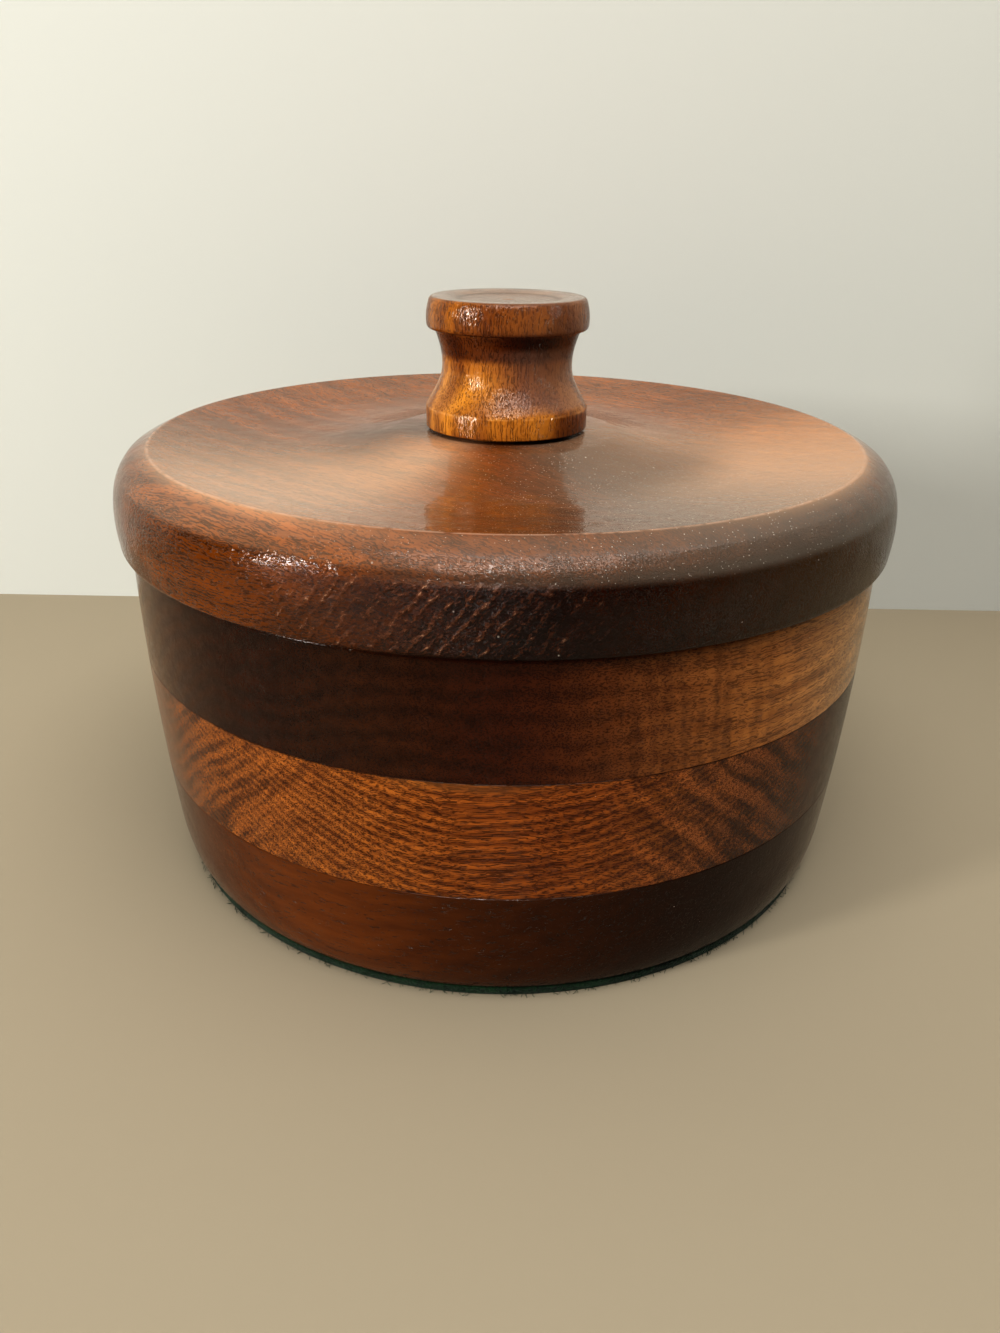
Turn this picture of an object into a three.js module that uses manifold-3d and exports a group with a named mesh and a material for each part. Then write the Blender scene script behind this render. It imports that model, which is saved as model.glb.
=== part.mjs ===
// Lidded wooden bowl: three glued boards turned on a lathe, a lift-off lid with a screwed-on knob,
// and a felt pad under the foot. Millimetres, +Z up, origin on the floor under the centre.
import * as THREE from 'three';
import { mergeVertices } from 'three/addons/utils/BufferGeometryUtils.js';
import Module from 'manifold-3d';

// Driving dimensions

const felt = {
  proud: 0.2,
  thickness: 2.5,
  edgeRound: 0.5,
};

const boards = {
  bottom: 28.1,
  middle: 29.5,
  top: 28.5,
};

const bowl = {
  mouthRadius: 97,
  taper: 5.2,
  footRoundHeight: 12,
  footRoundInset: 2.4,
  wall: 9,
  floor: 9,
  innerCorner: 18,
  mouthRound: 1.8,
  mouthChamfer: 0.8,
};

const lid = {
  overhang: 2.7,
  underInset: 1.7,
  underRound: 1.6,
  sideHeight: 17,
  sideInset: 1.1,
  sideSwell: 0.9,
  edgeRound: 3.5,
  crestHeight: 22.5,
  crestInset: 9,
  crestRound: 0.7,
  bevelSwell: 0.7,
  seatHeight: 23,
  seatMargin: 7.5,
  seatSlope: 14,
  crestSlope: 8,
  dishReach: 0.4,
  spigotDepth: 6,
  spigotClearance: 0.6,
  spigotChamfer: 0.8,
};

const knob = {
  baseRadius: 20.9,
  footInset: 4,
  shadowGap: 1,
  bandHeight: 5.3,
  shoulderLean: 1.5,
  shoulderReach: 3.2,
  waistRadius: 16.65,
  waistHeight: 16.6,
  waistReach: 4.2,
  discRadius: 20.5,
  discUnderside: 25.4,
  discThickness: 7.8,
  discNarrowing: 0.8,
  discSwell: 0.4,
  discRound: 1.1,
  coveInset: 1.8,
  topRim: 2.4,
  topDish: 0.9,
  dishFloorRadius: 10.5,
};

const screw = {
  shankRadius: 2.25,
  headRadius: 4.5,
  headRim: 0.5,
  length: 45,
  pointLength: 6,
  sunk: 0.4,
  slotWidth: 1.2,
  slotDepth: 1.3,
};

const holeClearance = 0.3;
const tipClearance = 1.5;

// Faces around each turned piece

const facets = {
  bowl: 72,
  knob: 48,
  screw: 24,
};

// Heights that several pieces share

const lowerSeam = felt.thickness + boards.bottom;
const upperSeam = lowerSeam + boards.middle;
const mouthHeight = upperSeam + boards.top;
const seatHeight = mouthHeight + lid.seatHeight;
const spigotUnderside = mouthHeight - lid.spigotDepth;
const floorHeight = felt.thickness + bowl.floor;
const screwHeadHeight = spigotUnderside + screw.sunk;

// Materials

const finish = (colour, roughness, metalness = 0) => () =>
  new THREE.MeshStandardMaterial({ color: colour, roughness, metalness });

const darkBoard = finish(0x5a3820, 0.35);
const goldenBoard = finish(0xa8703a, 0.35);
const brownBoard = finish(0x744a2a, 0.35);
const lidBoard = finish(0x8c5c3c, 0.25);
const knobWood = finish(0xb5762f, 0.3);
const greenFelt = finish(0x1f3318, 0.95);
const zincSteel = finish(0xb9b8b0, 0.4, 1);

// Outline helpers: a point is (radius, height)

const at = (radius, height) => new THREE.Vector2(radius, height);

function bend(from, through, to, steps) {
  return new THREE.QuadraticBezierCurve(from, through, to).getPoints(steps);
}

function sweep(from, leaving, arriving, to, steps) {
  return new THREE.CubicBezierCurve(from, leaving, arriving, to).getPoints(steps);
}

function along(from, towards, distance) {
  return towards.clone().sub(from).normalize().multiplyScalar(distance).add(from);
}

function rounded(before, corner, after, size, steps) {
  return bend(along(corner, before, size), corner, along(corner, after, size), steps);
}

// Each outline runs up the outside and comes back down the inside

function turn(outline, sides) {
  const points = outline.filter((point, i) => i === 0 || point.distanceTo(outline[i - 1]) > 1e-4);
  const shape = new THREE.LatheGeometry(points, sides);
  shape.rotateX(Math.PI / 2);
  return shape;
}

function piece(name, shape, material) {
  const mesh = new THREE.Mesh(shape, material());
  mesh.name = name;
  return mesh;
}

// The bowl's wall, as radii at a height

function wallRadius(height) {
  const drop = (mouthHeight - height) / (mouthHeight - felt.thickness);
  return bowl.mouthRadius - bowl.taper * drop ** 2;
}

function outsideRadius(height) {
  const roundTop = felt.thickness + bowl.footRoundHeight;
  const depth = Math.max(0, (roundTop - height) / bowl.footRoundHeight);
  return wallRadius(height) - bowl.footRoundInset * (1 - Math.sqrt(Math.max(0, 1 - depth ** 2)));
}

function insideRadius(height) {
  const below = Math.max(0, floorHeight + bowl.innerCorner - height);
  const pull = bowl.innerCorner - Math.sqrt(Math.max(0, bowl.innerCorner ** 2 - below ** 2));
  return wallRadius(height) - bowl.wall - pull;
}

// Points up a wall; gather = 2 crowds them towards the low end, where a round starts

function wallPoints(radiusAt, low, high, steps, gather = 1) {
  return Array.from({ length: steps + 1 }, (_, i) => {
    const height = low + (high - low) * (i / steps) ** gather;
    return at(radiusAt(height), height);
  });
}

// Felt pad under the foot

function feltPad() {
  const { thickness, edgeRound } = felt;
  const radius = outsideRadius(thickness) + felt.proud;
  const outline = [
    at(0, 0),
    ...rounded(at(0, 0), at(radius, 0), at(radius, thickness), edgeRound, 2),
    ...rounded(at(radius, 0), at(radius, thickness), at(0, thickness), edgeRound, 2),
    at(0, thickness),
  ];
  return turn(outline, facets.bowl);
}

// Bottom board: the floor, the round inside corner and the foot of the wall

function bottomBoard() {
  const outline = [
    at(0, felt.thickness),
    ...wallPoints(outsideRadius, felt.thickness, lowerSeam, 8, 2),
    ...wallPoints(insideRadius, floorHeight, lowerSeam, 7, 2).reverse(),
    at(0, floorHeight),
  ];
  return turn(outline, facets.bowl);
}

// Middle board: a plain ring between the two glue lines

function middleRing() {
  const outline = [
    ...wallPoints(outsideRadius, lowerSeam, upperSeam, 4),
    ...wallPoints(insideRadius, lowerSeam, upperSeam, 3).reverse(),
    at(outsideRadius(lowerSeam), lowerSeam),
  ];
  return turn(outline, facets.bowl);
}

// Top board: the mouth, with a rounded lip outside and a chamfer for the lid's spigot inside

function topRing() {
  const lip = at(bowl.mouthRadius, mouthHeight);
  const innerLip = at(insideRadius(mouthHeight), mouthHeight);
  const outline = [
    ...wallPoints(outsideRadius, upperSeam, mouthHeight - bowl.mouthRound, 3),
    ...rounded(at(bowl.mouthRadius, upperSeam), lip, innerLip, bowl.mouthRound, 3),
    at(innerLip.x + bowl.mouthChamfer, mouthHeight),
    ...wallPoints(insideRadius, upperSeam, mouthHeight - bowl.mouthChamfer, 2).reverse(),
    at(outsideRadius(upperSeam), upperSeam),
  ];
  return turn(outline, facets.bowl);
}

// Lid: spigot below, swelling side, bevel, then a dished top that rises to the knob's flat seat

function lidPlate() {
  const lidRadius = bowl.mouthRadius + lid.overhang;
  const spigotRadius = insideRadius(mouthHeight) - lid.spigotClearance;
  const hole = screw.shankRadius + holeClearance;
  const sink = screw.headRadius + holeClearance;
  const slack = holeClearance * (Math.SQRT2 - 1);
  const under = at(lidRadius - lid.underInset, mouthHeight);
  const sideFoot = at(lidRadius - lid.underInset + lid.underRound, mouthHeight + lid.underRound);
  const sideBulge = at(lidRadius + lid.sideSwell, mouthHeight + lid.sideHeight / 2);
  const edge = at(lidRadius - lid.sideInset, mouthHeight + lid.sideHeight);
  const crest = at(lidRadius - lid.crestInset, mouthHeight + lid.crestHeight);
  const bevelMiddle = edge.clone().lerp(crest, 0.5).add(at(lid.bevelSwell, lid.bevelSwell));
  const seatEdge = at(knob.baseRadius + lid.seatMargin, seatHeight);
  const reach = lid.dishReach * (crest.x - seatEdge.x);
  const seatSlope = THREE.MathUtils.degToRad(lid.seatSlope);
  const crestSlope = THREE.MathUtils.degToRad(lid.crestSlope);
  const dishRise = at(Math.cos(seatSlope), -Math.sin(seatSlope)).multiplyScalar(reach).add(seatEdge);
  const dishFall = at(-Math.cos(crestSlope), -Math.sin(crestSlope)).multiplyScalar(reach).add(crest);
  const outline = [
    at(sink, spigotUnderside),
    ...rounded(at(0, spigotUnderside), at(spigotRadius, spigotUnderside),
      at(spigotRadius, mouthHeight), lid.spigotChamfer, 1),
    at(spigotRadius, mouthHeight),
    under,
    ...bend(under, at(sideFoot.x, mouthHeight), sideFoot, 3),
    ...bend(sideFoot, sideBulge, along(edge, sideBulge, lid.edgeRound), 4),
    ...rounded(sideBulge, edge, bevelMiddle, lid.edgeRound, 3),
    ...bend(along(edge, bevelMiddle, lid.edgeRound), bevelMiddle,
      along(crest, bevelMiddle, lid.crestRound), 3),
    ...rounded(bevelMiddle, crest, dishFall, lid.crestRound, 2),
    ...sweep(along(crest, dishFall, lid.crestRound), dishFall, dishRise, seatEdge, 9),
    at(hole, seatHeight),
    at(hole, screwHeadHeight + screw.headRim + screw.headRadius - screw.shankRadius + slack),
    at(sink, screwHeadHeight + screw.headRim + slack),
    at(sink, spigotUnderside),
  ];
  return turn(outline, facets.bowl);
}

// Knob: foot, vertical band, waisted cove and a disc with a shallow dished top

function knobTurning() {
  const height = (above) => seatHeight + above;
  const bandTop = knob.shadowGap + knob.bandHeight;
  const discTop = knob.discUnderside + knob.discThickness;
  const hole = screw.shankRadius + holeClearance;
  const holeEnd = screwHeadHeight + screw.length + tipClearance;
  const foot = at(knob.baseRadius - knob.footInset, height(0));
  const band = at(knob.baseRadius, height(bandTop));
  const shoulder = at(band.x - knob.shoulderLean, band.y + knob.shoulderReach);
  const waist = at(knob.waistRadius, height(knob.waistHeight));
  const cove = at(knob.discRadius - knob.coveInset, height(knob.discUnderside));
  const lowerCorner = at(knob.discRadius, height(knob.discUnderside));
  const upperCorner = at(knob.discRadius - knob.discNarrowing, height(discTop));
  const halfway = height(knob.discUnderside + knob.discThickness / 2);
  const discMiddle = at(knob.discRadius + knob.discSwell, halfway);
  const rim = at(upperCorner.x - knob.topRim, upperCorner.y);
  const dishFloor = at(knob.dishFloorRadius, upperCorner.y - knob.topDish);
  const dishMiddle = (rim.x + dishFloor.x) / 2;
  const outline = [
    at(0, holeEnd),
    at(hole, holeEnd),
    at(hole, foot.y),
    foot,
    at(foot.x, height(knob.shadowGap)),
    at(knob.baseRadius, height(knob.shadowGap)),
    ...sweep(band, shoulder, at(waist.x, waist.y - knob.waistReach), waist, 7),
    ...bend(waist, at(waist.x, waist.y + knob.waistReach), cove, 4),
    ...rounded(cove, lowerCorner, discMiddle, knob.discRound, 3),
    ...bend(along(lowerCorner, discMiddle, knob.discRound), discMiddle,
      along(upperCorner, discMiddle, knob.discRound), 3),
    ...rounded(discMiddle, upperCorner, rim, knob.discRound, 3),
    ...sweep(rim, at(dishMiddle, rim.y), at(dishMiddle, dishFloor.y), dishFloor, 4),
    at(0, dishFloor.y),
  ];
  return turn(outline, facets.knob);
}

// Screw: countersunk head, plain shank and point, with a slot cut across the head

function solidOf(wasm, shape) {
  const bare = shape.index ? shape.toNonIndexed() : shape.clone();
  bare.deleteAttribute('normal');
  bare.deleteAttribute('uv');
  const merged = mergeVertices(bare, 1e-4);
  const corners = merged.index.array;
  const kept = [];
  for (let i = 0; i < corners.length; i += 3) {
    const [a, b, c] = corners.slice(i, i + 3);
    if (a !== b && b !== c && c !== a) {
      kept.push(a, b, c);
    }
  }
  const mesh = new wasm.Mesh({
    numProp: 3,
    vertProperties: new Float32Array(merged.attributes.position.array),
    triVerts: new Uint32Array(kept),
  });
  return new wasm.Manifold(mesh);
}

function shapeOf(solid) {
  const mesh = solid.getMesh();
  const shape = new THREE.BufferGeometry();
  shape.setAttribute('position', new THREE.BufferAttribute(new Float32Array(mesh.vertProperties), 3));
  shape.setIndex(new THREE.BufferAttribute(new Uint32Array(mesh.triVerts), 1));
  shape.computeVertexNormals();
  return shape;
}

async function knobScrew() {
  const wasm = await Module();
  wasm.setup();
  const head = screwHeadHeight;
  const shankStart = head + screw.headRim + screw.headRadius - screw.shankRadius;
  const outline = [
    at(0, head),
    at(screw.headRadius, head),
    at(screw.headRadius, head + screw.headRim),
    at(screw.shankRadius, shankStart),
    at(screw.shankRadius, head + screw.length - screw.pointLength),
    at(0, head + screw.length),
  ];
  const slot = new THREE.BoxGeometry(3 * screw.headRadius, screw.slotWidth, 2 * screw.slotDepth);
  slot.translate(0, 0, head);
  return shapeOf(solidOf(wasm, turn(outline, facets.screw)).subtract(solidOf(wasm, slot)));
}

// The bowl stays put; the lid, its knob and its screw lift off together

const base = new THREE.Group();
base.add(
  piece('felt_pad', feltPad(), greenFelt),
  piece('bottom_board', bottomBoard(), brownBoard),
  piece('middle_ring', middleRing(), goldenBoard),
  piece('top_ring', topRing(), darkBoard),
);

const cover = new THREE.Group();
cover.add(
  piece('lid_plate', lidPlate(), lidBoard),
  piece('knob', knobTurning(), knobWood),
  piece('knob_screw', await knobScrew(), zincSteel),
);

const object = new THREE.Group();
object.add(base, cover);

export default object;
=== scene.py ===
"""Lidded wooden bowl: the looks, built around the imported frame.

Metres, +Z up, origin on the floor under the centre. Outlines are in millimetres, as (radius, height) points.
The bowl is three turned boards on a felt pad; the lid, its knob and its screw lift off together.
"""
import math
import random

import bpy
from mathutils import Matrix, Vector


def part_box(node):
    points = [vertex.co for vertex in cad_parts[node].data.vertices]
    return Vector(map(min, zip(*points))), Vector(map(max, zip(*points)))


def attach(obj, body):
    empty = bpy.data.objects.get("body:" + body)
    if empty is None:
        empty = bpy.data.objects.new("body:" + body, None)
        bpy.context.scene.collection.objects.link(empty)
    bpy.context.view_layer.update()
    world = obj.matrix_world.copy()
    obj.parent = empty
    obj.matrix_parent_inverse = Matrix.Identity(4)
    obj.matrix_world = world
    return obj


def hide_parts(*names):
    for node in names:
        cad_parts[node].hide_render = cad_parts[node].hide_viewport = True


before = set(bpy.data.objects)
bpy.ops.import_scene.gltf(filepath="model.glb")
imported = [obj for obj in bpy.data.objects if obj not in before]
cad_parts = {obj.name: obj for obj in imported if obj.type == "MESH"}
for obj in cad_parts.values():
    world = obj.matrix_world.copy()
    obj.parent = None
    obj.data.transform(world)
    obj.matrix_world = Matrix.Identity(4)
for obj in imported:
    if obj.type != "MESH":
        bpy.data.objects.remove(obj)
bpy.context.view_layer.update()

MM = 0.001
FULL_TURN = 2 * math.pi


# Sizes read from the frame, in millimetres

def top_of(node):
    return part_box(node)[1].z / MM


def under_of(node):
    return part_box(node)[0].z / MM


def reach_of(node):
    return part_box(node)[1].x / MM


FELT_TOP = top_of("felt_pad")
FELT_RADIUS = reach_of("felt_pad")
LOWER_SEAM = top_of("bottom_board")
UPPER_SEAM = top_of("middle_ring")
MOUTH = top_of("top_ring")
MOUTH_RADIUS = reach_of("top_ring")
SPIGOT_UNDERSIDE = under_of("lid_plate")
SEAT = top_of("lid_plate")
KNOB_TOP = top_of("knob")
KNOB_BASE_RADIUS = reach_of("knob")
SCREW_HEAD = under_of("knob_screw")
SCREW_TIP = top_of("knob_screw")
SCREW_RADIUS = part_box("knob_screw")[1].y / MM

# Sizes of the turned shapes, in millimetres

WALL_TAPER = 5.2
WALL_THICKNESS = 9
FLOOR_THICKNESS = 9
FLOOR_TOP = FELT_TOP + FLOOR_THICKNESS
INNER_CORNER = 18
FOOT_ROUND_HEIGHT = 12
FOOT_ROUND_INSET = 2.4
MOUTH_ROUND = 1.8
MOUTH_CHAMFER = 0.8
GLUE_LINE = 0.12

LID_OVERHANG = 2.7
LID_RADIUS = MOUTH_RADIUS + LID_OVERHANG
LID_UNDER_INSET = 1.7
LID_UNDER_ROUND = 1.6
LID_SIDE_HEIGHT = 17
LID_SIDE_INSET = 1.1
LID_SIDE_SWELL = 0.9
LID_EDGE_ROUND = 3.5
LID_CREST_HEIGHT = 22.5
LID_CREST_INSET = 9
LID_CREST_ROUND = 0.7
LID_BEVEL_SWELL = 0.7
SEAT_MARGIN = 7.5
SEAT_SLOPE = math.radians(14)
CREST_SLOPE = math.radians(8)
DISH_REACH = 0.4
SPIGOT_CLEARANCE = 0.6
SPIGOT_CHAMFER = 0.8

KNOB_FOOT_INSET = 4
KNOB_GAP = 1
KNOB_BAND = 5.3
KNOB_BASE_ROUND = 0.35
SHOULDER_LEAN = 1.5
SHOULDER_REACH = 3.2
WAIST_RADIUS = 16.65
WAIST_HEIGHT = 16.6
WAIST_REACH = 4.2
DISC_RADIUS = 20.5
DISC_UNDERSIDE = 25.4
DISC_NARROWING = 0.8
DISC_SWELL = 0.4
DISC_ROUND = 1.1
COVE_INSET = 1.8
KNOB_RIM = 2.4
KNOB_DISH = 0.9
KNOB_DISH_RADIUS = 10.5
DIMPLE_RADIUS = 2.2
DIMPLE_DEPTH = 0.45

SHANK_RADIUS = 2.25
HEAD_RIM = 0.5
HEAD_EDGE_ROUND = 0.2
SLOT_WIDTH = 1.2
SLOT_DEPTH = 1.3
POINT_LENGTH = 6
HOLE_CLEARANCE = 0.3
TIP_CLEARANCE = 1.5

FELT_EDGE_ROUND = 0.7
FIBRES = 900
FIBRE_STEPS = 4
FIBRE_RADIUS = 0.05
FIBRE_SHORTEST = 0.5
FIBRE_LONGEST = 1.5
FIBRE_SLANT = 1.5
FIBRE_ROOT = 0.4
FIBRE_LOWEST = 0.3
FIBRE_HIGHEST = FELT_TOP - 0.2
FIBRE_LIFT = 0.5
FIBRE_DROOP = 1.1

# How finely the pieces are turned: steps round the axis, and lengths in millimetres

BOWL_STEPS = 288
KNOB_STEPS = 192
SCREW_STEPS = 48
SAME_POINT = 1e-4
WELD = 0.002
SHARP_EDGE = math.radians(40)


# Outline helpers

def at(radius, height):
    return Vector((radius, height))


def bend(start, through, end, steps):
    """A curve from start to end, pulled towards one point."""
    points = []
    for i in range(steps + 1):
        t = i / steps
        points.append(start * (1 - t) ** 2 + through * 2 * t * (1 - t) + end * t * t)
    return points


def sweep(start, leaving, arriving, end, steps):
    """A curve from start to end that leaves and arrives in the directions of two points."""
    points = []
    for i in range(steps + 1):
        t = i / steps
        points.append(
            start * (1 - t) ** 3
            + leaving * 3 * t * (1 - t) ** 2
            + arriving * 3 * t * t * (1 - t)
            + end * t ** 3
        )
    return points


def along(start, towards, distance):
    return start + (towards - start).normalized() * distance


def rounded(before, corner, after, size, steps):
    return bend(along(corner, before, size), corner, along(corner, after, size), steps)


def wall_radius(height):
    drop = (MOUTH - height) / (MOUTH - FELT_TOP)
    return MOUTH_RADIUS - WALL_TAPER * drop ** 2


def outside_radius(height):
    depth = max(0, (FELT_TOP + FOOT_ROUND_HEIGHT - height) / FOOT_ROUND_HEIGHT)
    return wall_radius(height) - FOOT_ROUND_INSET * (1 - math.sqrt(max(0, 1 - depth ** 2)))


def inside_radius(height):
    below = max(0, FLOOR_TOP + INNER_CORNER - height)
    pull = INNER_CORNER - math.sqrt(max(0, INNER_CORNER ** 2 - below ** 2))
    return wall_radius(height) - WALL_THICKNESS - pull


def wall_points(radius_at, low, high, steps, gather=1):
    """Points up a wall; gather = 2 crowds them towards the low end, where a round starts."""
    heights = [low + (high - low) * (i / steps) ** gather for i in range(steps + 1)]
    return [at(radius_at(height), height) for height in heights]


def ease_corners(points, size):
    """Small flats on the two outer corners of a board, which leave a fine groove at the glue line."""
    first, last = points[0], points[-1]
    inner_first = at(first.x - size, first.y)
    inner_last = at(last.x - size, last.y)
    points[0] = along(first, points[1], size)
    points[-1] = along(last, points[-2], size)
    return [inner_first, *points, inner_last]


# Modelling helpers

def start_afresh():
    if bpy.context.object and bpy.context.object.mode != "OBJECT":
        bpy.ops.object.mode_set(mode="OBJECT")
    bpy.ops.object.select_all(action="DESELECT")


def draw_outline(name, outline):
    """A chain of edges drawn point by point from the outline's first point, left open in edit mode."""
    points = [p for i, p in enumerate(outline) if i == 0 or (p - outline[i - 1]).length > SAME_POINT]
    start_afresh()
    bpy.ops.mesh.primitive_plane_add(size=MM, location=(points[0].x * MM, 0, points[0].y * MM))
    piece = bpy.context.object
    piece.name = name
    bpy.ops.object.mode_set(mode="EDIT")
    bpy.ops.mesh.merge(type="CENTER")
    for here, there in zip(points, points[1:]):
        move = (there - here) * MM
        bpy.ops.mesh.extrude_region_move(TRANSFORM_OT_translate={"value": (move.x, 0, move.y)})
    return piece


def turn(name, outline, steps):
    """Spins an outline round the bowl's axis into a closed turning."""
    piece = draw_outline(name, outline)
    bpy.ops.mesh.select_all(action="SELECT")
    bpy.ops.mesh.spin(steps=steps, angle=FULL_TURN, center=(0, 0, 0), axis=(0, 0, 1))
    bpy.ops.mesh.select_all(action="SELECT")
    bpy.ops.mesh.remove_doubles(threshold=WELD * MM)
    bpy.ops.mesh.normals_make_consistent(inside=False)
    bpy.ops.object.mode_set(mode="OBJECT")
    bpy.ops.object.transform_apply(location=True, rotation=True, scale=True)
    bpy.ops.object.shade_smooth_by_angle(angle=SHARP_EDGE)
    return piece


def place(piece, body, node, material):
    """Puts a finished piece on its body, in the place of its CAD node, with its material."""
    piece.data.materials.clear()
    piece.data.materials.append(material)
    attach(piece, body)
    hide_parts(node)


# Turned pieces

def bottom_board_outline():
    outside = wall_points(outside_radius, FELT_TOP, LOWER_SEAM, steps=26, gather=2)
    inside = wall_points(inside_radius, FLOOR_TOP, LOWER_SEAM, steps=30, gather=2)
    outside[-1] = along(outside[-1], outside[-2], GLUE_LINE)
    return [
        at(0, FELT_TOP),
        *outside,
        at(outside_radius(LOWER_SEAM) - GLUE_LINE, LOWER_SEAM),
        *reversed(inside),
        at(0, FLOOR_TOP),
    ]


def middle_ring_outline():
    outside = ease_corners(wall_points(outside_radius, LOWER_SEAM, UPPER_SEAM, steps=12), GLUE_LINE)
    inside = wall_points(inside_radius, LOWER_SEAM, UPPER_SEAM, steps=10)
    return [*outside, *reversed(inside), outside[0]]


def top_ring_outline():
    lip = at(MOUTH_RADIUS, MOUTH)
    inner_lip = at(inside_radius(MOUTH), MOUTH)
    outside = wall_points(outside_radius, UPPER_SEAM, MOUTH - MOUTH_ROUND, steps=12)
    foot = at(outside[0].x - GLUE_LINE, UPPER_SEAM)
    outside[0] = along(outside[0], outside[1], GLUE_LINE)
    inside = wall_points(inside_radius, UPPER_SEAM, MOUTH - MOUTH_CHAMFER, steps=10)
    return [
        foot,
        *outside,
        *rounded(at(MOUTH_RADIUS, UPPER_SEAM), lip, inner_lip, MOUTH_ROUND, steps=8),
        at(inner_lip.x + MOUTH_CHAMFER, MOUTH),
        *reversed(inside),
        foot,
    ]


def lid_outline():
    spigot = inside_radius(MOUTH) - SPIGOT_CLEARANCE
    hole = SHANK_RADIUS + HOLE_CLEARANCE
    sink = SCREW_RADIUS + HOLE_CLEARANCE
    slack = HOLE_CLEARANCE * (math.sqrt(2) - 1)
    root = at(spigot, MOUTH)
    under = at(LID_RADIUS - LID_UNDER_INSET, MOUTH)
    side_foot = at(under.x + LID_UNDER_ROUND, MOUTH + LID_UNDER_ROUND)
    bulge = at(LID_RADIUS + LID_SIDE_SWELL, MOUTH + LID_SIDE_HEIGHT / 2)
    edge = at(LID_RADIUS - LID_SIDE_INSET, MOUTH + LID_SIDE_HEIGHT)
    crest = at(LID_RADIUS - LID_CREST_INSET, MOUTH + LID_CREST_HEIGHT)
    bevel = (edge + crest) / 2 + at(LID_BEVEL_SWELL, LID_BEVEL_SWELL)
    seat_edge = at(KNOB_BASE_RADIUS + SEAT_MARGIN, SEAT)
    reach = DISH_REACH * (crest.x - seat_edge.x)
    dish_rise = seat_edge + at(math.cos(SEAT_SLOPE), -math.sin(SEAT_SLOPE)) * reach
    dish_fall = crest + at(-math.cos(CREST_SLOPE), -math.sin(CREST_SLOPE)) * reach
    cone = SCREW_HEAD + HEAD_RIM + slack
    return [
        at(sink, SPIGOT_UNDERSIDE),
        *rounded(at(0, SPIGOT_UNDERSIDE), at(spigot, SPIGOT_UNDERSIDE), root, SPIGOT_CHAMFER, steps=4),
        root,
        under,
        *bend(under, at(side_foot.x, MOUTH), side_foot, steps=8),
        *bend(side_foot, bulge, along(edge, bulge, LID_EDGE_ROUND), steps=14),
        *rounded(bulge, edge, bevel, LID_EDGE_ROUND, steps=12),
        *bend(along(edge, bevel, LID_EDGE_ROUND), bevel, along(crest, bevel, LID_CREST_ROUND), steps=8),
        *rounded(bevel, crest, dish_fall, LID_CREST_ROUND, steps=6),
        *sweep(along(crest, dish_fall, LID_CREST_ROUND), dish_fall, dish_rise, seat_edge, steps=44),
        at(hole, SEAT),
        at(hole, cone + SCREW_RADIUS - SHANK_RADIUS),
        at(sink, cone),
        at(sink, SPIGOT_UNDERSIDE),
    ]


def knob_outline():
    def height(above):
        return SEAT + above

    hole = SHANK_RADIUS + HOLE_CLEARANCE
    hole_end = SCREW_TIP + TIP_CLEARANCE
    foot = KNOB_BASE_RADIUS - KNOB_FOOT_INSET
    band = at(KNOB_BASE_RADIUS, height(KNOB_GAP + KNOB_BAND))
    shoulder = at(band.x - SHOULDER_LEAN, band.y + SHOULDER_REACH)
    waist = at(WAIST_RADIUS, height(WAIST_HEIGHT))
    cove = at(DISC_RADIUS - COVE_INSET, height(DISC_UNDERSIDE))
    lower = at(DISC_RADIUS, cove.y)
    upper = at(DISC_RADIUS - DISC_NARROWING, KNOB_TOP)
    swell = at(DISC_RADIUS + DISC_SWELL, (lower.y + upper.y) / 2)
    rim = at(upper.x - KNOB_RIM, KNOB_TOP)
    dish = at(KNOB_DISH_RADIUS, KNOB_TOP - KNOB_DISH)
    middle = (rim.x + dish.x) / 2
    dimple = at(DIMPLE_RADIUS, dish.y)
    dimple_middle = DIMPLE_RADIUS / 2
    dimple_floor = at(0, dish.y - DIMPLE_DEPTH)
    return [
        at(0, hole_end),
        at(hole, hole_end),
        at(hole, height(0)),
        at(foot, height(0)),
        at(foot, height(KNOB_GAP)),
        *rounded(at(foot, height(KNOB_GAP)), at(band.x, height(KNOB_GAP)), band, KNOB_BASE_ROUND, steps=3),
        *sweep(band, shoulder, at(waist.x, waist.y - WAIST_REACH), waist, steps=24),
        *bend(waist, at(waist.x, waist.y + WAIST_REACH), cove, steps=16),
        *rounded(cove, lower, swell, DISC_ROUND, steps=6),
        *bend(along(lower, swell, DISC_ROUND), swell, along(upper, swell, DISC_ROUND), steps=8),
        *rounded(swell, upper, rim, DISC_ROUND, steps=6),
        *sweep(rim, at(middle, rim.y), at(middle, dish.y), dish, steps=10),
        *sweep(dimple, at(dimple_middle, dimple.y), at(dimple_middle, dimple_floor.y), dimple_floor, steps=6),
    ]


def screw_outline():
    shank_start = SCREW_HEAD + HEAD_RIM + SCREW_RADIUS - SHANK_RADIUS
    rim = at(SCREW_RADIUS, SCREW_HEAD)
    under_rim = at(SCREW_RADIUS, SCREW_HEAD + HEAD_RIM)
    return [
        at(0, SCREW_HEAD),
        *rounded(at(0, SCREW_HEAD), rim, under_rim, HEAD_EDGE_ROUND, steps=3),
        under_rim,
        at(SHANK_RADIUS, shank_start),
        at(SHANK_RADIUS, SCREW_TIP - POINT_LENGTH),
        at(0, SCREW_TIP),
    ]


def felt_outline():
    lower = at(FELT_RADIUS, 0)
    upper = at(FELT_RADIUS, FELT_TOP)
    return [
        at(0, 0),
        *rounded(at(0, 0), lower, upper, FELT_EDGE_ROUND, steps=4),
        *rounded(lower, upper, at(0, FELT_TOP), FELT_EDGE_ROUND, steps=4),
        at(0, FELT_TOP),
    ]


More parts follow.
